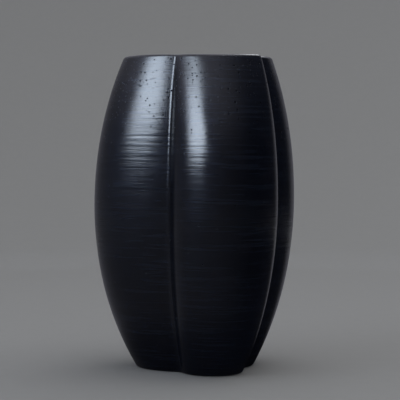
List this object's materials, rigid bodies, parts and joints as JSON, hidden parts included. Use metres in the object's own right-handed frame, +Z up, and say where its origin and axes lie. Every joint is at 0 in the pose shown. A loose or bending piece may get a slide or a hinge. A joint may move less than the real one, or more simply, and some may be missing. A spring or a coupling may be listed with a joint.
{
  "type": "lobed ceramic vase",
  "caption": "Tall trefoil vase of black-glazed stoneware with lobed walls, deep upright creases, a rounded lip and an open mouth.",
  "frame": {"origin": "on the flat underside, on the axis that the lobed plan grows about", "axes": "+Z up along the vase, -Y towards the crease between the left and the front lobe, +X to the right of someone who looks along +Y"},
  "size_m": [0.1953, 0.1834, 0.3],
  "materials": {
    "black_glaze": "satin gloss, blue-black",
    "bare_clay": "matt, unglazed dark stoneware"
  },
  "bodies": {
    "root": {"left_lobe_wall": "black_glaze", "front_lobe_wall": "black_glaze", "back_lobe_wall": "black_glaze", "floor_slab": "bare_clay", "rim_coil": "black_glaze", "front_seam_coil": "black_glaze", "right_seam_coil": "black_glaze", "rear_seam_coil": "black_glaze"}
  },
  "joints": []
}
